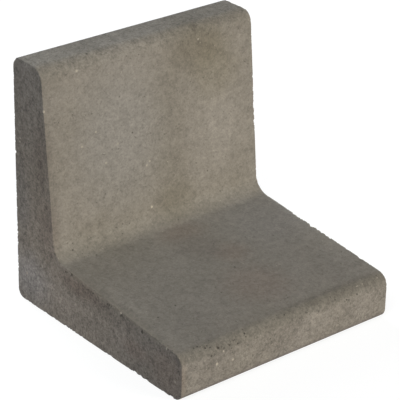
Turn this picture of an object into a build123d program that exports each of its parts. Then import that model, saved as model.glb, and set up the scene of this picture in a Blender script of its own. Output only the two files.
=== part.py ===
from build123d import *
import os

# L-shaped concrete block, cast in one piece: an upright wall and a foot that meet at a right angle.
# Millimetres. X runs along the wall, Y from the foot's nose to the wall's outer face, Z is up.
# The origin is the centre of the block's box, at ground level.

# Overall size
height = 400.0
depth = 400.0
length = 400.0

# The wall's thickness at its crown, and where its sloping inner face reaches the inner corner
wall_crown = 69.0
wall_root = 97.0

# The foot's thickness at its nose, and where its sloping top face reaches the inner corner
foot_nose = 73.0
foot_root = 103.0

# Rounds that the mould gives the long edges, and the fillet in the inner corner
heel_round = 14.0
nose_bottom_round = 16.0
nose_top_round = 19.0
crown_inner_round = 22.0
crown_outer_round = 14.0
inner_fillet = 29.0

# Narrow round on the edges of the two end faces
end_arris = 1.5

# The most of a leg's tip that one of its two rounds may take
tip_share = 0.48


def tip_round(radius, tip):
    """A round on one side of a leg's tip, limited by the tip's thickness."""
    return min(radius, tip_share * tip)


os.makedirs("parts", exist_ok=True)

outer_face = depth / 2
nose_face = -depth / 2

# Corners of the section in (Y, Z), each with its round, from the heel along the ground and up
section_corners = [
    ((outer_face, 0), heel_round),
    ((nose_face, 0), tip_round(nose_bottom_round, foot_nose)),
    ((nose_face, foot_nose), tip_round(nose_top_round, foot_nose)),
    ((outer_face - wall_root, foot_root), inner_fillet),
    ((outer_face - wall_crown, height), tip_round(crown_inner_round, wall_crown)),
    ((outer_face, height), tip_round(crown_outer_round, wall_crown)),
]

with BuildPart() as block:
    with BuildSketch(Plane.YZ):
        with BuildLine():
            FilletPolyline(
                *[corner for corner, _ in section_corners],
                radius=[rounding for _, rounding in section_corners],
                close=True,
            )
        make_face()
    extrude(amount=length / 2, both=True)
    ends = block.faces().sort_by(Axis.X)
    fillet(ends[0].edges() + ends[-1].edges(), radius=end_arris)

export_step(block.part, os.path.join("parts", "l_block.step"))
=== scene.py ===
"""Looks of an L-shaped concrete block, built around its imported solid.

The block is one casting, so one mesh stands for its one solid. The plain section is drawn, rounded
and extruded, its arrises are crumbled and chipped, its faces get their bug holes, and one finish of
cast concrete covers it all. Lengths are in metres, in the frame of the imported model.
"""

import logging
import math
import random
from collections.abc import Iterable
from dataclasses import dataclass, field
from enum import Enum
from typing import Any

import bmesh
import bpy
from mathutils import Matrix, Vector, bvhtree, geometry, kdtree, noise


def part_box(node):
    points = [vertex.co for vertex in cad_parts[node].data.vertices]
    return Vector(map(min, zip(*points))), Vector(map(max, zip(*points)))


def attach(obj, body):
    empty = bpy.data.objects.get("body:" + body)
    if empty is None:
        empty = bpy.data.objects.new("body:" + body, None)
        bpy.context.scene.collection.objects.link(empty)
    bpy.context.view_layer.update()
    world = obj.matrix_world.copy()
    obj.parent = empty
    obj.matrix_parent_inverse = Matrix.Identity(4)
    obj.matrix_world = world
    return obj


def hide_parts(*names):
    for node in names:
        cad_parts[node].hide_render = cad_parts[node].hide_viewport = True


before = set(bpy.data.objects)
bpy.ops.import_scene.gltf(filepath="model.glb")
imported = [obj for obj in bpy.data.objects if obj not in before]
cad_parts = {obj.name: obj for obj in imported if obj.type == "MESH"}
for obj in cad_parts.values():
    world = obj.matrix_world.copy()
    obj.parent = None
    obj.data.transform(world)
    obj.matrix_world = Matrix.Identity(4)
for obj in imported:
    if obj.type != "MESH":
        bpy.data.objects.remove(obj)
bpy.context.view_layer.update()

LOG = logging.getLogger("l_block")
MM = 0.001
PICTURE_SIDE_PX = 400
SENSOR_MM = 36.0

# Sockets of the mix node, in its colour form and in its number form
MIX_FACTOR, MIX_A, MIX_B, MIX_COLOUR = 0, 6, 7, 2
MIX_LOW, MIX_HIGH, MIX_NUMBER = 2, 3, 0

Place = tuple[float, float, float]
Socket = bpy.types.NodeSocket
Tree = bpy.types.NodeTree


class Axis(Enum):
    """The axes of the part's frame, as places in a vector."""

    ALONG_WALL = 0
    DEPTH = 1
    UP = 2


class Mark(Enum):
    """The mesh attributes that tell the finish what the surface is like at a point."""

    CHIPPED = "chipped"
    # How deep a point lies in a bug hole, which the finish turns into painted shade
    PIT_SHADE = "pitted"
    BARED = "bared"
    COARSE = "coarse"


def linear(hex_colour: str) -> tuple[float, float, float, float]:
    """Turns an sRGB hex colour into a linear one.

    Args:
        hex_colour: six hex digits after a hash sign.

    Returns:
        Linear red, green and blue, and an alpha of one.
    """
    shares = [int(hex_colour[k : k + 2], 16) / 255 for k in (1, 3, 5)]
    red, green, blue = (s / 12.92 if s <= 0.04045 else ((s + 0.055) / 1.055) ** 2.4 for s in shares)
    return red, green, blue, 1.0


def add(tree: Tree, kind: str, inputs: dict[str | int, Any] | None = None, **settings: Any) -> bpy.types.Node:
    """Adds a node with its settings and links.

    Args:
        tree: the node tree that gets the node.
        kind: the node's type name.
        inputs: for each input socket, a value or the output socket that feeds it.
        **settings: the node's own properties.

    Returns:
        The new node.
    """
    node = tree.nodes.new(kind)
    for name, value in settings.items():
        setattr(node, name, value)
    for socket, value in (inputs or {}).items():
        if isinstance(value, Socket):
            tree.links.new(value, node.inputs[socket])
        else:
            node.inputs[socket].default_value = value
    return node


def search_tree(points: list[Vector]) -> kdtree.KDTree:
    """Puts points into a tree that finds the nearest ones.

    Args:
        points: the points, whose places in the list the tree gives back.

    Returns:
        The tree.
    """
    tree = kdtree.KDTree(len(points))
    for k, point in enumerate(points):
        tree.insert(point, k)
    tree.balance()
    return tree


def direction(azimuth_deg: float, elevation_deg: float) -> Vector:
    """Points from the block towards a viewer or a lamp.

    Args:
        azimuth_deg: turn about the block; 0 is in front of the foot's nose and 90 off the right end.
        elevation_deg: height above the horizon.

    Returns:
        A unit vector.
    """
    turn, rise = math.radians(azimuth_deg), math.radians(elevation_deg)
    return Vector((math.sin(turn) * math.cos(rise), -math.cos(turn) * math.cos(rise), math.sin(rise)))


@dataclass(frozen=True)
class StainAndShade:
    """A soft discoloured patch in the cement skin; some of these patches are painted shade.

    Attributes:
        centre_mm: its middle, in the part's frame.
        reach_mm: how far it reaches along X, Y and Z.
        colour: its colour at full strength.
        strength: its share of the skin's colour at its middle.
    """

    centre_mm: Place
    reach_mm: Place
    colour: str
    strength: float


@dataclass(frozen=True)
class CastConcrete:
    """Grey concrete as it leaves a steel mould.

    A matt cement skin lies over fine sand, so the eye gets a dull, speckled grey with soft discoloured
    patches, a few pale grains of grit at the surface and dark pinholes where air sat on the mould. Some
    patches are painted shade: along the rounds over the nose and the crown, in the inner corner, and in
    part over the left end. The pinholes and the bug holes of the mesh are darkened with painted shade.
    """

    dark_skin: str = "#726D65"
    pale_skin: str = "#7A756E"
    broken: str = "#787268"
    grit: str = "#A19A8D"
    # Painted shade in the pinholes and in the bug holes
    hole_shade: str = "#403C36"
    # Share of the skin's colour that each of these hides where it is strongest
    broken_cover: float = 0.55
    grit_cover: float = 0.45
    bared_cover: float = 1.0
    # Shares of painted shade in the pinholes and in the bug holes
    hole_shade_cover: float = 0.5
    pit_shade_cover: float = 0.65
    cloud_mm: float = 120.0
    cloud_range: tuple[float, float] = (0.32, 0.68)
    lump_mm: float = 13.0
    lump_range: tuple[float, float] = (0.36, 0.64)
    # Real sand is 0.1 to 2 mm; it is drawn a little coarser, or it would vanish in a picture of the block
    sand_mm: float = 2.6
    sand_share: float = 0.38
    sand_relief_mm: float = 0.2
    drag_mm: float = 9.0
    drag_stretch: float = 3.0
    drag_share: float = 0.35
    smooth_swing: float = 0.23
    coarse_swing: float = 0.6
    grit_cell_mm: float = 8.0
    grit_radius_mm: float = 1.3
    grit_rarity: float = 0.6
    # Real pinholes go down to 0.2 mm; only those that show are drawn
    hole_cell_mm: float = 6.5
    hole_radius_mm: float = 1.2
    hole_rarity: float = 0.5
    spot_edge: float = 0.4
    roughness: float = 0.92
    specular: float = 0.25
    wander_mm: float = 30.0
    wander_share: float = 0.5
    stain_and_shade_edge: float = 0.8
    stains_and_shade: tuple[StainAndShade, ...] = (
        # Wall
        StainAndShade((88, 130, 372), (78, 60, 70), "#5F594D", 0.7),
        StainAndShade((26, 115, 240), (48, 60, 210), "#68635A", 0.42),
        StainAndShade((35, 106, 130), (62, 50, 48), "#625D52", 0.5),
        StainAndShade((130, 120, 238), (68, 60, 112), "#86817A", 0.42),
        StainAndShade((-65, 118, 262), (125, 60, 175), "#797774", 0.45),
        StainAndShade((125, 126, 325), (62, 50, 75), "#6B6555", 0.4),
        StainAndShade((-185, 128, 382), (45, 40, 40), "#625D54", 0.3),
        StainAndShade((-120, 106, 125), (65, 40, 40), "#625D54", 0.25),
        # Foot
        StainAndShade((150, 30, 95), (115, 115, 40), "#7F7C79", 0.5),
        StainAndShade((-150, -150, 78), (95, 95, 40), "#69655F", 0.5),
        StainAndShade((165, -150, 78), (62, 80, 40), "#69655F", 0.4),
        StainAndShade((0, -50, 88), (330, 190, 34), "#74726E", 0.3),
        StainAndShade((16, -108, 82), (80, 75, 34), "#745F53", 0.22),
        StainAndShade((42, -22, 91), (45, 36, 34), "#745F53", 0.22),
        StainAndShade((10, 62, 99), (65, 34, 30), "#745F53", 0.22),
        StainAndShade((12, 15, 95), (62, 58, 34), "#66605A", 0.4),
        # Crown
        StainAndShade((122, 170, 400), (120, 60, 25), "#66615A", 0.42),
        # Nose
        StainAndShade((-5, -200, 40), (45, 25, 45), "#66615A", 0.45),
        StainAndShade((-140, -200, 40), (65, 25, 45), "#66615A", 0.38),
        StainAndShade((188, -200, 45), (45, 25, 50), "#66615A", 0.4),
        StainAndShade((-85, -200, 34), (40, 25, 40), "#827D74", 0.2),
        # Painted shade along the right half of the round over the nose, which is pitted there too
        StainAndShade((105, -187, 73), (150, 18, 14), "#5B564E", 0.42),
        # Left end
        # Paler low at the heel: partly painted light from below, partly the block's own tone
        StainAndShade((-200, 170, 45), (40, 75, 65), "#858483", 0.6),
        StainAndShade((-200, 118, 150), (20, 40, 75), "#5A5049", 0.45),
        StainAndShade((-200, 132, 260), (16, 30, 100), "#5A5049", 0.35),
        StainAndShade((-200, 186, 170), (16, 32, 95), "#6A6A69", 0.45),
        StainAndShade((-200, 35, 82), (14, 80, 24), "#5F5049", 0.45),
        StainAndShade((-200, -95, 38), (14, 45, 24), "#65574F", 0.35),
        StainAndShade((-200, -175, 35), (16, 70, 62), "#74675C", 0.45),
        # Painted shade along the round over the nose and the crown's inner round, and in the inner corner
        # The round over the nose: pitted, and darker all along it with painted shade
        StainAndShade((0, -193, 68), (900, 18, 17), "#4E4A43", 0.45),
        # Painted shade along the crown's inner round
        StainAndShade((-80, 138, 390), (330, 24, 21), "#5B564E", 0.18),
        # Darker over the left half of the crown's top
        StainAndShade((-70, 174, 400), (170, 40, 20), "#66615A", 0.3),
        # Painted shade along the crown's inner round, at the right
        StainAndShade((170, 138, 389), (60, 24, 23), "#5B564E", 0.3),
        # Painted shade all along the inner corner
        StainAndShade((-40, 93, 108), (900, 15, 12), "#5B564E", 0.2),
        # Left end as a whole, darker upwards and along the foot's top: partly painted shade, partly its own
        # tone
        StainAndShade((-200, 165, 260), (30, 120, 190), "#5B564F", 0.32),
        StainAndShade((-200, -40, 84), (25, 210, 38), "#5B564F", 0.48),
    )

    def material(self) -> bpy.types.Material:
        """Makes the finish.

        Returns:
            A material on Object coordinates and on the marks of the mesh.
        """
        made = bpy.data.materials.new("cast_concrete")
        made.use_nodes = True
        tree = made.node_tree
        tree.nodes.clear()
        place = add(tree, "ShaderNodeTexCoord").outputs["Object"]
        marks = {
            mark: add(tree, "ShaderNodeAttribute", attribute_name=mark.value).outputs["Fac"] for mark in Mark
        }
        swing = self._sand(tree, place, marks[Mark.COARSE])
        grit = self._spots(tree, place, self.grit_cell_mm, self.grit_radius_mm, self.grit_rarity)
        holes = self._spots(tree, place, self.hole_cell_mm, self.hole_radius_mm, self.hole_rarity)
        colour = self._stain_and_shade(tree, place, self._skin(tree, place))
        gain = add(tree, "ShaderNodeMath", {0: swing, 1: 1.0}, operation="ADD").outputs[0]
        colour = add(tree, "ShaderNodeHueSaturation", {"Value": gain, "Color": colour}).outputs["Color"]
        for mask, tone, cover in (
            (marks[Mark.CHIPPED], self.broken, self.broken_cover),
            (grit, self.grit, self.grit_cover),
            (marks[Mark.BARED], self.grit, self.bared_cover),
            # Painted shade: the pinholes and the bug holes of the mesh are darkened in the base colour
            (holes, self.hole_shade, self.hole_shade_cover),
            (marks[Mark.PIT_SHADE], self.hole_shade, self.pit_shade_cover),
        ):
            share = add(tree, "ShaderNodeMath", {0: mask, 1: cover}, operation="MULTIPLY").outputs[0]
            mix = {MIX_FACTOR: share, MIX_A: colour, MIX_B: linear(tone)}
            colour = add(tree, "ShaderNodeMix", mix, data_type="RGBA").outputs[MIX_COLOUR]
        shader = add(
            tree,
            "ShaderNodeBsdfPrincipled",
            {
                "Base Color": colour,
                "Roughness": self.roughness,
                "Specular IOR Level": self.specular,
                "Normal": self._relief(tree, swing, holes),
            },
        )
        add(tree, "ShaderNodeOutputMaterial", {"Surface": shader.outputs["BSDF"]})
        return made

    def _skin(self, tree: Tree, place: Socket) -> Socket:
        """Mixes the cement skin from two greys in broad clouds.

        Args:
            tree: the material's node tree.
            place: Object coordinates.

        Returns:
            The skin's colour.
        """
        clouds = add(
            tree,
            "ShaderNodeTexNoise",
            {"Vector": place, "Scale": 1 / (self.cloud_mm * MM), "Detail": 4.0, "Roughness": 0.6},
        ).outputs["Fac"]
        low, high = self.cloud_range
        share = add(tree, "ShaderNodeMapRange", {"Value": clouds, "From Min": low, "From Max": high})
        mix = {
            MIX_FACTOR: share.outputs["Result"],
            MIX_A: linear(self.dark_skin),
            MIX_B: linear(self.pale_skin),
        }
        return add(tree, "ShaderNodeMix", mix, data_type="RGBA").outputs[MIX_COLOUR]

    def _stain_and_shade(self, tree: Tree, place: Socket, colour: Socket) -> Socket:
        """Lays the discoloured patches over the skin, each with a wandering edge; some of them are painted
        shade.

        Args:
            tree: the material's node tree.
            place: Object coordinates.
            colour: the skin's colour.

        Returns:
            The colour with its discoloured patches and painted shade.
        """
        wander = add(
            tree,
            "ShaderNodeTexNoise",
            {"Vector": place, "Scale": 1 / (self.wander_mm * MM), "Detail": 3.0, "Roughness": 0.6},
        ).outputs["Color"]
        shift = add(tree, "ShaderNodeVectorMath", {0: wander, 1: (0.5,) * 3}, operation="SUBTRACT").outputs[0]
        for stain_and_shade in self.stains_and_shade:
            # A narrow patch wanders less, or it would fall apart into blots
            sway = min(self.wander_mm, self.wander_share * min(stain_and_shade.reach_mm)) * MM
            bend = {0: shift, 1: (sway,) * 3, 2: place}
            bent = add(tree, "ShaderNodeVectorMath", bend, operation="MULTIPLY_ADD").outputs[0]
            local = add(
                tree,
                "ShaderNodeMapping",
                {
                    "Vector": bent,
                    "Location": Vector(stain_and_shade.centre_mm) * MM,
                    "Scale": Vector(stain_and_shade.reach_mm) * MM,
                },
                vector_type="TEXTURE",
            ).outputs[0]
            fade = add(tree, "ShaderNodeTexGradient", {"Vector": local}, gradient_type="SPHERICAL")
            share = add(
                tree,
                "ShaderNodeMapRange",
                {"Value": fade.outputs["Fac"], "From Max": self.stain_and_shade_edge, "To Max": stain_and_shade.strength},
                interpolation_type="SMOOTHSTEP",
            ).outputs["Result"]
            mix = {MIX_FACTOR: share, MIX_A: colour, MIX_B: linear(stain_and_shade.colour)}
            colour = add(tree, "ShaderNodeMix", mix, data_type="RGBA").outputs[MIX_COLOUR]
        return colour

    def _sand(self, tree: Tree, place: Socket, coarse: Socket) -> Socket:
        """Gives each grain of sand its own lightness, over lumps of every size and drag marks.

        Args:
            tree: the material's node tree.
            place: Object coordinates.
            coarse: how coarse the face is.

        Returns:
            A swing of lightness about zero, wider where the face is coarse.
        """
        pulled = add(
            tree, "ShaderNodeMapping", {"Vector": place, "Scale": (1.0, 1.0, 1.0 / self.drag_stretch)}
        ).outputs[0]
        grains = add(tree, "ShaderNodeTexVoronoi", {"Vector": place, "Scale": 1 / (self.sand_mm * MM)})
        tone = add(tree, "ShaderNodeSeparateColor", {"Color": grains.outputs["Color"]}).outputs["Red"]
        low, high = self.lump_range
        swings = []
        for where, lump_mm in ((place, self.lump_mm), (pulled, self.drag_mm)):
            # Each finer layer is as strong as the last, as in the real skin
            lumps = add(
                tree,
                "ShaderNodeTexNoise",
                {"Vector": where, "Scale": 1 / (lump_mm * MM), "Detail": 4.0, "Roughness": 0.95},
            ).outputs["Fac"]
            wide = add(tree, "ShaderNodeMapRange", {"Value": lumps, "From Min": low, "From Max": high})
            mix = {MIX_FACTOR: self.sand_share, MIX_LOW: wide.outputs["Result"], MIX_HIGH: tone}
            swings.append(add(tree, "ShaderNodeMix", mix, data_type="FLOAT").outputs[MIX_NUMBER])
        share = add(tree, "ShaderNodeMath", {0: coarse, 1: self.drag_share}, operation="MULTIPLY").outputs[0]
        mix = {MIX_FACTOR: share, MIX_LOW: swings[0], MIX_HIGH: swings[1]}
        mixed = add(tree, "ShaderNodeMix", mix, data_type="FLOAT").outputs[MIX_NUMBER]
        about_zero = add(tree, "ShaderNodeMapRange", {"Value": mixed, "To Min": -1.0, "To Max": 1.0})
        width = add(
            tree,
            "ShaderNodeMapRange",
            {"Value": coarse, "To Min": self.smooth_swing, "To Max": self.coarse_swing},
        )
        return add(
            tree,
            "ShaderNodeMath",
            {0: about_zero.outputs["Result"], 1: width.outputs["Result"]},
            operation="MULTIPLY",
        ).outputs[0]

    def _spots(
        self, tree: Tree, place: Socket, cell_mm: float, radius_mm: float, rarity: float
    ) -> Socket:
        """Scatters small round spots of uneven size.

        Args:
            tree: the material's node tree.
            place: Object coordinates.
            cell_mm: spacing of the places where a spot may be.
            radius_mm: radius of the largest spot.
            rarity: share of those places that stay empty.

        Returns:
            A mask that is one inside a spot.
        """
        cells = add(tree, "ShaderNodeTexVoronoi", {"Vector": place, "Scale": 1 / (cell_mm * MM)})
        luck = add(tree, "ShaderNodeSeparateColor", {"Color": cells.outputs["Color"]}).outputs["Green"]
        radius = add(
            tree,
            "ShaderNodeMapRange",
            {"Value": luck, "From Min": rarity, "To Max": radius_mm / cell_mm},
        ).outputs["Result"]
        inside = add(
            tree, "ShaderNodeMath", {0: radius, 1: cells.outputs["Distance"]}, operation="SUBTRACT"
        ).outputs[0]
        edge = {"Value": inside, "From Max": self.spot_edge * radius_mm / cell_mm}
        return add(tree, "ShaderNodeMapRange", edge).outputs["Result"]

    def _relief(self, tree: Tree, swing: Socket, holes: Socket) -> Socket:
        """Raises the sand and sinks the pinholes.

        Args:
            tree: the material's node tree.
            swing: the sand's lightness about zero.
            holes: mask of the pinholes.

        Returns:
            The bumped normal.
        """
        height = self.sand_relief_mm * MM / self.smooth_swing
        grain = add(tree, "ShaderNodeBump", {"Height": swing, "Distance": height}).outputs["Normal"]
        sunk = {"Height": holes, "Distance": self.hole_radius_mm * MM, "Normal": grain}
        return add(tree, "ShaderNodeBump", sunk, invert=True).outputs["Normal"]


@dataclass(frozen=True)
class Scoop:
    """A hollow in the surface, as part of a ball.

    Attributes:
        centre: the ball's middle, outside the block.
        radius: the ball's radius.
        mark: the attribute that it sets.
    """

    centre: Vector
    radius: float
    mark: Mark

    @classmethod
    def at(cls, place: Vector, outward: Vector, radius: float, depth: float, mark: Mark) -> "Scoop":
        """Sinks a ball into the surface.

        Args:
            place: a point on the surface.
            outward: the surface's direction there.
            radius: the ball's radius.
            depth: how far the ball reaches into the block.
            mark: the attribute that the hollow sets.

        Returns:
            The hollow.
        """
        return cls(place + outward * (radius - depth), radius, mark)


@dataclass(frozen=True)
class Chip:
    """A piece broken off an arris, at the arris point nearest to a place."""

    place_mm: Place
    radius_mm: float
    depth_mm: float


@dataclass(frozen=True)
class PittedPatch:
    """A patch of poorly filled skin, with its bug holes close together.

    Attributes:
        centre_mm: its middle.
        reach_mm: how far the holes spread along X, Y and Z.
        holes: how many there are.
        size: their size, as a share of the usual one.
    """

    centre_mm: Place
    reach_mm: Place
    holes: int
    size: float = 1.0


@dataclass(frozen=True)
class WornStretch:
    """A length of arris that has crumbled more than the rest.

    Attributes:
        start_mm: one end of it.
        end_mm: the other end.
        depth_mm: how deep it crumbles where it is weakest.
        even_mm: how much has gone all along it.
    """

    start_mm: Place
    end_mm: Place
    depth_mm: float
    even_mm: float = 0.0


@dataclass(frozen=True)
class Grit:
    """A pale grain that the cement skin doesn't cover, and how clean it is."""

    place_mm: Place
    radius_mm: float
    cleanness: float


class Arris:
    """The sharp outlines of both ends, as close points that know which way is out."""

    def __init__(self, edges: Iterable[bmesh.types.BMEdge], pitch: float) -> None:
        """Spreads points over edges.

        Args:
            edges: the sharp edges.
            pitch: the points' spacing.
        """
        self.points: list[Vector] = []
        self.outward: list[Vector] = []
        for edge in edges:
            start, end = (vert.co.copy() for vert in edge.verts)
            outward = sum((face.normal for face in edge.link_faces), Vector()).normalized()
            count = math.ceil(edge.calc_length() / pitch)
            for k in range(count):
                self.points.append(start.lerp(end, k / count))
                self.outward.append(outward)
        self.tree = search_tree(self.points)

    def distance(self, place: Vector) -> float:
        """Measures how far a place is from the arrises."""
        return self.tree.find(place)[2]

    def out_of(self, place: Vector) -> Vector:
        """Gives the outward direction of the arris nearest to a place."""
        return self.outward[self.tree.find(place)[1]]

    def chip(self, place: Vector, radius: float, depth: float) -> Scoop:
        """Breaks a chip off the arris nearest to a place.

        Args:
            place: the place.
            radius: the radius of the break.
            depth: how far it reaches into the block.

        Returns:
            The hollow that the chip leaves.
        """
        point, index, _ = self.tree.find(place)
        return Scoop.at(point, self.outward[index], radius, depth, Mark.CHIPPED)


@dataclass
class ConcreteBlock:
    """The casting: an upright wall and a foot in one L-shaped section."""

    low: Vector
    high: Vector
    # The section, as in the solid; the arrises are left sharper, and crumble instead
    wall_crown: float = 69 * MM
    wall_root: float = 97 * MM
    foot_nose: float = 73 * MM
    foot_root: float = 103 * MM
    heel_round: float = 14 * MM
    nose_bottom_round: float = 16 * MM
    nose_top_round: float = 19 * MM
    inner_fillet: float = 29 * MM
    crown_inner_round: float = 22 * MM
    crown_outer_round: float = 14 * MM
    round_segments: int = 10
    sharp_deg: float = 60.0
    end_arris: float = 0.7 * MM
    arris_segments: int = 2
    # Slicing and splitting of the mesh
    base_pitch: float = 10 * MM
    least_strip: float = 5 * MM
    most_lean: float = 0.7
    cut_snap: float = 1 * MM
    flat_pitch: float = 6.5 * MM
    arris_pitch: float = 1.3 * MM
    pit_pitch: float = 0.8 * MM
    pitch_per_radius: float = 0.1
    pitch_growth: float = 0.5
    pitch_slack: float = 1.4
    spots_near: int = 3
    spot_margin: float = 1.1
    refine_rounds: int = 6
    # Coarseness of the skin
    end_coarse: float = 0.95
    nose_coarse: float = 0.6
    wall_coarse: float = 0.12
    crown_coarse: float = 0.7
    back_coarse: float = 0.2
    # Waves of the mould; a fractal has an exponent, a lacunarity and a number of octaves
    wave_depth: float = 0.15 * MM
    wave_length: float = 90 * MM
    wave_fractal: tuple[float, float, int] = (1.0, 2.0, 3)
    # Crumbling of the arrises
    crumble_reach: float = 2.4 * MM
    crumble_widening: float = 0.5
    crumble_depth: float = 0.6 * MM
    crumble_start: float = 0.15
    crumble_lump: float = 7 * MM
    crumble_fractal: tuple[float, float, int] = (0.6, 2.2, 3)
    crumble_patch: float = 40 * MM
    patch_share: float = 0.6
    stretch_reach: float = 8 * MM
    stretch_fade: float = 0.1
    # Even wear that shows broken concrete all over
    full_wear: float = 0.7 * MM
    # Hollows, with their depth as a share of their radius
    bug_holes: int = 220
    least_hole_mm: float = 0.6
    hole_spread_mm: float = 1.1
    hole_skew: int = 3
    hole_depth: float = 0.85
    edge_chips: int = 80
    edge_chip_mm: tuple[float, float] = (1.8, 5.0)
    edge_chip_depth: tuple[float, float] = (0.1, 0.24)
    fray_share: float = 0.06
    most_fray: float = 0.5 * MM
    fray_length: float = 3 * MM
    # Depth at which a hollow has its full mark: broken colour in a chip, painted shade in a bug hole
    full_hollow: float = 0.8 * MM
    # Bared grains, in their own radii
    grit_reach: float = 1.4
    grit_steepness: float = 2.0
    seed: int = 11
    chips: tuple[Chip, ...] = (
        Chip((-200, 196, 396), 45, 1.8),
        Chip((200, 199, 388), 40, 2.2),
        Chip((200, 195, 396), 50, 3.0),
        Chip((200, 185, 400), 50, 2.7),
        Chip((200, 173, 400), 50, 2.6),
        Chip((200, 161, 400), 50, 2.6),
        Chip((200, 149, 400), 40, 2.2),
        Chip((200, 115, 230), 7, 1.4),
        Chip((200, -141, 79), 12, 1.6),
        Chip((-200, 200, 117), 10, 1.2),
        Chip((-200, 129, 0), 9, 1.4),
        Chip((-200, 107, 0), 7, 1.2),
        Chip((-200, -34, 0), 10, 1.5),
        Chip((-200, -120, 0), 12, 1.4),
        Chip((-200, -160, 0), 8, 1.2),
    )
    pitted_patches: tuple[PittedPatch, ...] = (
        PittedPatch((-148, -191, 72), (11, 3, 2.5), 30),
        PittedPatch((-130, -196, 66), (10, 3, 4), 26),
        PittedPatch((-112, -199, 60), (8, 2, 4), 10),
        PittedPatch((0, -195, 66), (90, 3, 5), 34),
        PittedPatch((100, -197, 64), (30, 2, 4), 14),
        PittedPatch((-200, 68, 94), (0, 6, 1.5), 5, 1.6),
        PittedPatch((-200, 10, 88), (0, 6, 1.5), 6, 1.7),
        PittedPatch((-200, -31, 85), (0, 4, 1.5), 6, 1.9),
        PittedPatch((-200, -66, 80), (0, 7, 2), 6, 1.6),
        PittedPatch((-200, -109, 77), (0, 6, 1.5), 4, 1.6),
        PittedPatch((-200, -153, 73), (0, 7, 2), 7, 1.7),
        PittedPatch((-200, 160, 326), (0, 7, 7), 5),
        PittedPatch((-200, 142, 125), (0, 8, 6), 4),
    )
    worn_stretches: tuple[WornStretch, ...] = (
        WornStretch((-200, 80, 101), (-200, -185, 75), 4.0, 0.7),
        WornStretch((-200, 200, 380), (-200, 200, 20), 3.0),
        WornStretch((-200, 185, 0), (-200, -60, 0), 3.0),
        WornStretch((-200, -60, 0), (-200, -190, 0), 4.0),
        WornStretch((200, 126, 345), (200, 108, 155), 2.8),
        WornStretch((200, 40, 97), (200, -185, 75), 2.4),
    )
    bared_grit: tuple[Grit, ...] = (
        Grit((-135, -200, 41.5), 1.9, 0.9),
        Grit((-105, -200, 38), 1.6, 0.8),
        Grit((-123, -199, 58), 1.5, 0.8),
        Grit((-136, 129.4, 383), 1.7, 0.6),
        Grit((-109, 120, 281), 1.4, 0.5),
        Grit((-136, 118, 265), 1.5, 0.55),
        Grit((-70, 117, 252), 1.3, 0.45),
        Grit((-12, 113, 208), 1.5, 0.6),
        Grit((-18, 112.5, 203), 1.5, 0.6),
        Grit((-94, 115, 228), 1.6, 0.45),
        Grit((-199.6, 125, 336), 1.8, 1.0),
        Grit((-13, 106, 133), 1.7, 1.0),
        Grit((93, 129, 378), 1.5, 0.5),
        Grit((-200, 176, 49), 1.6, 0.8),
        Grit((188, 140, 400), 2.2, 0.8),
        Grit((-200, -60, 84), 1.8, 1.0),
        Grit((-200, -166, 74), 1.8, 0.9),
        Grit((-200, -186, 29), 1.6, 0.8),
        Grit((-200, 187, 266), 1.5, 0.8),
        Grit((-200, 186, 272), 1.4, 0.6),
    )
    dice: random.Random = field(init=False)

    def __post_init__(self) -> None:
        """Seeds the dice, so that each run wears the block alike."""
        self.dice = random.Random(self.seed)

    def build(self) -> bpy.types.Object:
        """Models the worn casting.

        Returns:
            The block's object, at the origin, with its place in its mesh.
        """
        bm = bmesh.new()
        arris = self._cast(bm)
        scoops = self._chips(arris) + self._bug_holes(bm)
        for axis in Axis:
            self._cut_across(bm, axis)
        spots = [(scoop.centre, scoop.radius) for scoop in scoops]
        spots += [(Vector(grit.place_mm) * MM, grit.radius_mm * MM) for grit in self.bared_grit]
        self._refine(bm, arris, spots)
        marks = {mark: bm.verts.layers.float.new(mark.value) for mark in Mark}
        self._weather(bm, arris, marks)
        self._scoop_out(bm, scoops, marks)
        self._bare(bm, marks)
        for face in bm.faces:
            face.smooth = True
        mesh = bpy.data.meshes.new("concrete_block")
        bm.to_mesh(mesh)
        bm.free()
        block = bpy.data.objects.new("concrete_block", mesh)
        bpy.context.scene.collection.objects.link(block)
        LOG.info("%s: %d triangles", block.name, len(mesh.polygons))
        return block

    def dress(self, block: bpy.types.Object, finish: CastConcrete) -> None:
        """Gives the block its finish and its place in the frame.

        Args:
            block: the block's object.
            finish: the concrete.
        """
        block.data.materials.append(finish.material())
        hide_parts("l_block")
        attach(block, "root")

    def _section(self) -> list[tuple[Vector, float]]:
        """Lists the section's corners.

        Returns:
            Each corner at the left end with its round, from the heel along the ground and up.
        """
        left, outer, nose = self.low.x, self.high.y, self.low.y
        ground, crown = self.low.z, self.high.z
        return [
            (Vector((left, outer, ground)), self.heel_round),
            (Vector((left, nose, ground)), self.nose_bottom_round),
            (Vector((left, nose, ground + self.foot_nose)), self.nose_top_round),
            (Vector((left, outer - self.wall_root, ground + self.foot_root)), self.inner_fillet),
            (Vector((left, outer - self.wall_crown, crown)), self.crown_inner_round),
            (Vector((left, outer, crown)), self.crown_outer_round),
        ]

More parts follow.
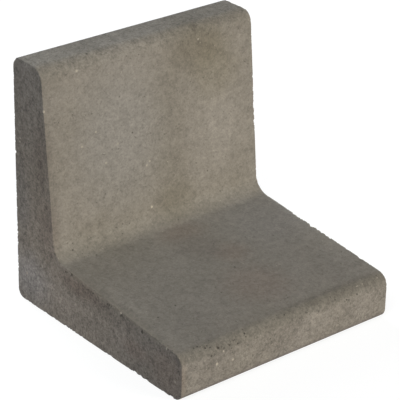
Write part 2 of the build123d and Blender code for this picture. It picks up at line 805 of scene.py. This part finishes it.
    def _cast(self, bm: bmesh.types.BMesh) -> Arris:
        """Draws, rounds and extrudes the section, and breaks the arrises of both ends.

        Args:
            bm: an empty mesh.

        Returns:
            The arrises.
        """
        corners = self._section()
        verts = [bm.verts.new(corner) for corner, _ in corners]
        bm.faces.new(verts)
        for k, vert in enumerate(verts):
            corner, rounding = corners[k]
            before, after = corners[k - 1][0], corners[(k + 1) % len(corners)][0]
            half_angle = (before - corner).angle(after - corner) / 2
            bmesh.ops.bevel(
                bm,
                geom=[vert],
                affect="VERTICES",
                offset=rounding / math.tan(half_angle),
                segments=self.round_segments,
                profile=0.5,
                material=-1,
            )
        drawn = bmesh.ops.extrude_face_region(bm, geom=bm.faces[:])
        moved = [item for item in drawn["geom"] if isinstance(item, bmesh.types.BMVert)]
        bmesh.ops.translate(bm, verts=moved, vec=(self.high.x - self.low.x, 0, 0))
        bmesh.ops.recalc_face_normals(bm, faces=bm.faces[:])
        sharp = [edge for edge in bm.edges if edge.calc_face_angle() > math.radians(self.sharp_deg)]
        arris = Arris(sharp, self.arris_pitch / 2)
        bmesh.ops.bevel(
            bm,
            geom=sharp,
            affect="EDGES",
            offset=self.end_arris,
            segments=self.arris_segments,
            profile=0.5,
            material=-1,
        )
        return arris

    def _chips(self, arris: Arris) -> list[Scoop]:
        """Chips the arrises where the block shows it, and at random.

        Args:
            arris: the arrises.

        Returns:
            The hollows.
        """
        seen = [
            arris.chip(Vector(chip.place_mm) * MM, chip.radius_mm * MM, chip.depth_mm * MM)
            for chip in self.chips
        ]
        small = []
        for place in self.dice.choices(arris.points, k=self.edge_chips):
            radius = self.dice.uniform(*self.edge_chip_mm) * MM
            small.append(arris.chip(place, radius, self.dice.uniform(*self.edge_chip_depth) * radius))
        return seen + small

    def _bug_holes(self, bm: bmesh.types.BMesh) -> list[Scoop]:
        """Scatters bug holes over all faces by area, and closer together in the pitted patches.

        Args:
            bm: the plain casting.

        Returns:
            The hollows.
        """
        plain = bm.copy()
        skin = bmesh.ops.triangulate(plain, faces=plain.faces[:])["faces"]
        surface = bvhtree.BVHTree.FromBMesh(plain)
        places = []
        for face in self.dice.choices(skin, weights=[face.calc_area() for face in skin], k=self.bug_holes):
            corners = [vert.co for vert in face.verts]
            # The root spreads the holes evenly over the triangle
            across, along = math.sqrt(self.dice.random()), self.dice.random()
            places.append((corners[0].lerp(corners[1].lerp(corners[2], along), across), 1.0))
        plain.free()
        for patch in self.pitted_patches:
            for _ in range(patch.holes):
                spread = [self.dice.gauss(0, 1) * reach for reach in patch.reach_mm]
                places.append(((Vector(patch.centre_mm) + Vector(spread)) * MM, patch.size))
        holes = []
        for place, size in places:
            point, outward, _, _ = surface.find_nearest(place)
            extra_mm = self.hole_spread_mm * self.dice.random() ** self.hole_skew
            radius = size * (self.least_hole_mm + extra_mm) * MM
            holes.append(Scoop.at(point, outward, radius, self.hole_depth * radius, Mark.PIT_SHADE))
        return holes

    def _cut_across(self, bm: bmesh.types.BMesh, axis: Axis) -> None:
        """Slices the faces that run along one axis into even strips.

        Args:
            bm: the casting.
            axis: the axis that the cuts stand square to.
        """
        normal = Vector((0.0, 0.0, 0.0))
        normal[axis.value] = 1.0
        low, high = self.low[axis.value], self.high[axis.value]
        count = round((high - low) / self.base_pitch)
        for k in range(1, count):
            faces = [face for face in bm.faces if self._runs_along(face, axis)]
            edges = {edge for face in faces for edge in face.edges}
            bmesh.ops.bisect_plane(
                bm,
                geom=[*faces, *edges],
                dist=self.cut_snap,
                plane_co=normal * (low + (high - low) * k / count),
                plane_no=normal,
            )

    def _runs_along(self, face: bmesh.types.BMFace, axis: Axis) -> bool:
        """Says whether a face runs along an axis, and for long enough to be cut."""
        along = [vert.co[axis.value] for vert in face.verts]
        long_enough = max(along) - min(along) > self.least_strip
        return long_enough and abs(face.normal[axis.value]) < self.most_lean

    def _refine(self, bm: bmesh.types.BMesh, arris: Arris, spots: list[tuple[Vector, float]]) -> None:
        """Splits edges until they are short enough for the wear near them.

        Args:
            bm: the sliced casting.
            arris: the arrises.
            spots: the centre and radius of each small feature to come.
        """
        tree = search_tree([centre for centre, _ in spots])
        bmesh.ops.triangulate(bm, faces=bm.faces[:])

        def pitch_at(place: Vector) -> float:
            """Gives the longest edge that is fine at a place."""
            pitch = self.arris_pitch + self.pitch_growth * arris.distance(place)
            for _, index, distance in tree.find_n(place, self.spots_near):
                radius = spots[index][1]
                finest = max(self.pit_pitch, self.pitch_per_radius * radius)
                beyond = max(0.0, distance - self.spot_margin * radius)
                pitch = min(pitch, finest + self.pitch_growth * beyond)
            return min(pitch, self.flat_pitch)

        def too_long(edge: bmesh.types.BMEdge) -> bool:
            """Says whether an edge is too long for the wear near its middle."""
            middle = (edge.verts[0].co + edge.verts[1].co) / 2
            return edge.calc_length() > self.pitch_slack * pitch_at(middle)

        for _ in range(self.refine_rounds):
            made = bmesh.ops.subdivide_edges(
                bm,
                edges=[edge for edge in bm.edges if too_long(edge)],
                cuts=1,
                use_grid_fill=True,
                use_single_edge=True,
            )
            fresh = {item for item in made["geom_inner"] if isinstance(item, bmesh.types.BMVert)}
            # A triangle with two split edges has five corners; one cut between the new two leaves no sliver
            for face in [face for face in bm.faces if len(face.verts) == 5]:
                bmesh.utils.face_split(face, *(vert for vert in face.verts if vert in fresh))
            bmesh.ops.triangulate(bm, faces=[face for face in bm.faces if len(face.verts) > 3])

    def _coarseness(self, place: Vector, normal: Vector) -> float:
        """Says how coarse the skin is: ends most, crown and nose less, back and wall a little, foot not.

        Args:
            place: a point of the surface.
            normal: the surface's direction there.

        Returns:
            From zero to one.
        """
        on_nose = place.y < self.low.y + self.nose_top_round
        on_crown = place.z > self.high.z - self.crown_inner_round
        end = self.end_coarse * abs(normal.x)
        front = (self.nose_coarse if on_nose else self.wall_coarse) * max(0.0, -normal.y)
        top = self.crown_coarse * max(0.0, normal.z) if on_crown else 0.0
        back = self.back_coarse * max(0.0, normal.y)
        return max(end, front, top, back)

    def _wear(self, place: Vector) -> tuple[float, float]:
        """Looks up how worn the arris nearest to a place is.

        Args:
            place: a point of the surface.

        Returns:
            How deep it may crumble, and how much has gone evenly.
        """
        depth, even = self.crumble_depth, 0.0
        for stretch in self.worn_stretches:
            start, end = Vector(stretch.start_mm) * MM, Vector(stretch.end_mm) * MM
            point, share = geometry.intersect_point_line(place, start, end)
            if 0 <= share <= 1 and (place - point).length < self.stretch_reach:
                fade = min(1.0, share / self.stretch_fade, (1 - share) / self.stretch_fade)
                depth = max(depth, fade * stretch.depth_mm * MM)
                even = max(even, fade * stretch.even_mm * MM)
        return depth, even

    def _weather(self, bm: bmesh.types.BMesh, arris: Arris, marks: dict[Mark, Any]) -> None:
        """Moves the skin inwards: slight waves of the mould, and arrises that crumble.

        Args:
            bm: the refined casting.
            arris: the arrises.
            marks: the mesh layers of the marks.
        """
        bm.normal_update()
        for vert in bm.verts:
            rest = vert.co.copy()
            wave = max(0.0, 0.5 + 0.5 * noise.fractal(rest / self.wave_length, *self.wave_fractal))
            depth, even = self._wear(rest)
            reach = self.crumble_reach + self.crumble_widening * depth
            near = math.exp(-((arris.distance(rest) / reach) ** 2))
            rough = noise.fractal(rest / self.crumble_lump, *self.crumble_fractal)
            rough += self.patch_share * noise.noise(rest / self.crumble_patch)
            crumble = near * max(0.0, rough - self.crumble_start)
            vert[marks[Mark.COARSE]] = self._coarseness(rest, vert.normal)
            vert[marks[Mark.CHIPPED]] = min(1.0, crumble + near * even / self.full_wear)
            vert.co = rest - vert.normal * wave * self.wave_depth
            vert.co -= arris.out_of(rest) * (crumble * depth + near * even)

    def _scoop_out(self, bm: bmesh.types.BMesh, scoops: list[Scoop], marks: dict[Mark, Any]) -> None:
        """Pushes the skin out of each hollow's ball, which frays a little.

        Args:
            bm: the weathered casting.
            scoops: the hollows.
            marks: the mesh layers of the marks.
        """
        bm.verts.ensure_lookup_table()
        tree = search_tree([vert.co for vert in bm.verts])
        for scoop in scoops:
            for place, index, distance in tree.find_range(scoop.centre, scoop.radius * self.spot_margin):
                vert = bm.verts[index]
                fray = min(self.fray_share * scoop.radius, self.most_fray)
                gap = scoop.radius + fray * noise.noise(place / self.fray_length) - distance
                if gap > 0:
                    vert.co += (place - scoop.centre) / distance * gap
                    # The mark pales a chip with broken colour and darkens a bug hole with painted shade
                    layer = marks[scoop.mark]
                    vert[layer] = min(1.0, vert[layer] + gap / self.full_hollow)

    def _bare(self, bm: bmesh.types.BMesh, marks: dict[Mark, Any]) -> None:
        """Marks the pale grains that the skin doesn't cover.

        Args:
            bm: the worn casting.
            marks: the mesh layers of the marks.
        """
        tree = search_tree([vert.co for vert in bm.verts])
        for grit in self.bared_grit:
            radius = grit.radius_mm * MM
            for _, index, distance in tree.find_range(Vector(grit.place_mm) * MM, radius * self.grit_reach):
                share = min(1.0, max(0.0, self.grit_steepness * (self.grit_reach - distance / radius)))
                bm.verts[index][marks[Mark.BARED]] = grit.cleanness * share


@dataclass(frozen=True)
class PhotoCamera:
    """The camera at the photograph's viewing angle, solved from the block's outline."""

    azimuth_deg: float = -39.94
    elevation_deg: float = 26.34
    roll_deg: float = -1.12
    distance: float = 3018.7 * MM
    focal_px: float = 2019.6
    block_right: float = 4.2 * MM
    block_above: float = 15.6 * MM

    def build(self, middle: Vector) -> bpy.types.Object:
        """Makes the scene's camera.

        Args:
            middle: the middle of the block.

        Returns:
            The camera's object.
        """
        data = bpy.data.cameras.new("photo_camera")
        data.sensor_width = SENSOR_MM
        data.lens = self.focal_px / PICTURE_SIDE_PX * SENSOR_MM
        camera = bpy.data.objects.new("photo_camera", data)
        bpy.context.scene.collection.objects.link(camera)
        back = direction(self.azimuth_deg, self.elevation_deg)
        roll = Matrix.Rotation(math.radians(-self.roll_deg), 3, "Z")
        turn = back.to_track_quat("Z", "Y").to_matrix() @ roll
        aim = middle - turn.col[0] * self.block_right - turn.col[1] * self.block_above
        camera.matrix_world = Matrix.Translation(aim + back * self.distance) @ turn.to_4x4()
        bpy.context.scene.camera = camera
        return camera


@dataclass(frozen=True)
class Softbox:
    """A large soft lamp of the studio.

    Attributes:
        name: the lamp's name.
        azimuth_deg: where it stands round the block.
        elevation_deg: its height above the horizon.
        strength: brightness that it gives a white card held square to it, as a share of white.
        colour: its tint.
        distance: how far it is from its aim.
        side: the length of its square face.
        aim_off: where it aims, from the middle of the block.
    """

    name: str
    azimuth_deg: float
    elevation_deg: float
    strength: float
    colour: tuple[float, float, float]
    distance: float = 5.0
    side: float = 2.6
    aim_off: Place = (0.0, 0.0, 0.0)

    def build(self, middle: Vector) -> bpy.types.Object:
        """Makes the lamp.

        Args:
            middle: the middle of the block.

        Returns:
            The lamp's object.
        """
        data = bpy.data.lights.new(self.name, "AREA")
        data.shape = "SQUARE"
        data.size = self.side
        data.energy = self.strength * (math.pi * self.distance) ** 2
        data.color = self.colour
        lamp = bpy.data.objects.new(self.name, data)
        bpy.context.scene.collection.objects.link(lamp)
        towards = direction(self.azimuth_deg, self.elevation_deg)
        turn = towards.to_track_quat("Z", "Y").to_matrix().to_4x4()
        aim = middle + Vector(self.aim_off)
        lamp.matrix_world = Matrix.Translation(aim + towards * self.distance) @ turn
        lamp.visible_camera = False
        return lamp


@dataclass(frozen=True)
class Studio:
    """An opal light table in soft light, as product pictures are taken on."""

    table_side: float = 40.0
    table_glow: float = 0.84
    table_grey: str = "#787878"
    white: str = "#FFFFFF"
    sky: tuple[float, float, float, float] = (0.082, 0.072, 0.135, 1.0)
    lamps: tuple[Softbox, ...] = (
        Softbox("key_softbox", 30.0, 12.0, 1.385, (1.0, 0.942, 0.806)),
        Softbox("left_softbox", -60.0, 42.0, 0.591, (0.904, 1.0, 0.953)),
        Softbox("back_softbox", 180.0, 30.0, 0.846, (0.94, 1.0, 0.991)),
        Softbox("low_softbox", -90.0, 0.0, 0.46, (1.0, 0.88, 0.73), 0.3, 0.18, (-0.2, 0.1, -0.1)),
        Softbox("right_softbox", 100.0, 0.0, 0.2, (0.88, 1.0, 0.86), side=0.4),
    )

    def build(self, middle: Vector, ground: float) -> None:
        """Sets up the table, the lamps and the light from all round.

        Args:
            middle: the middle of the block.
            ground: the height that the block stands on.
        """
        bm = bmesh.new()
        bmesh.ops.create_grid(bm, x_segments=1, y_segments=1, size=self.table_side / 2)
        bmesh.ops.translate(bm, verts=bm.verts[:], vec=(0, 0, ground))
        mesh = bpy.data.meshes.new("light_table")
        bm.to_mesh(mesh)
        bm.free()
        table = bpy.data.objects.new("light_table", mesh)
        bpy.context.scene.collection.objects.link(table)
        table.data.materials.append(self._opal())
        # The faces in the picture show no light thrown up from below
        table.visible_diffuse = False
        for lamp in self.lamps:
            LOG.info("%s: set up", lamp.build(middle).name)
        self._light_all_round()
        bpy.context.scene.view_settings.view_transform = "Standard"

    def _opal(self) -> bpy.types.Material:
        """Makes the table's opal acrylic, which glows white and takes a faint shadow."""
        made = bpy.data.materials.new("opal_acrylic")
        made.use_nodes = True
        tree = made.node_tree
        tree.nodes.clear()
        shader = add(
            tree,
            "ShaderNodeBsdfPrincipled",
            {
                "Base Color": linear(self.table_grey),
                "Roughness": 1.0,
                "Specular IOR Level": 0.0,
                "Emission Color": linear(self.white),
                "Emission Strength": self.table_glow,
            },
        )
        add(tree, "ShaderNodeOutputMaterial", {"Surface": shader.outputs["BSDF"]})
        return made

    def _light_all_round(self) -> None:
        """Lights the block from all round, behind a background that looks white."""
        world = bpy.data.worlds.new("studio")
        world.use_nodes = True
        tree = world.node_tree
        tree.nodes.clear()
        light = add(tree, "ShaderNodeBackground", {"Color": self.sky}).outputs[0]
        white = add(tree, "ShaderNodeBackground", {"Color": linear(self.white)}).outputs[0]
        seen = add(tree, "ShaderNodeLightPath").outputs["Is Camera Ray"]
        both = add(tree, "ShaderNodeMixShader", {0: seen, 1: light, 2: white}).outputs[0]
        add(tree, "ShaderNodeOutputWorld", {"Surface": both})
        bpy.context.scene.world = world


def main() -> None:
    """Builds the block and its studio."""
    logging.basicConfig(level=logging.INFO, format="%(name)s: %(message)s")
    low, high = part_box("l_block")
    middle = (low + high) / 2
    block = ConcreteBlock(low, high)
    piece = block.build()
    block.dress(piece, CastConcrete())
    LOG.info("%s: dressed as cast concrete", piece.name)
    Studio().build(middle, low.z)
    camera = PhotoCamera().build(middle)
    LOG.info("%s: lens %.1f mm", camera.name, camera.data.lens)


if __name__ == "__main__":
    main()
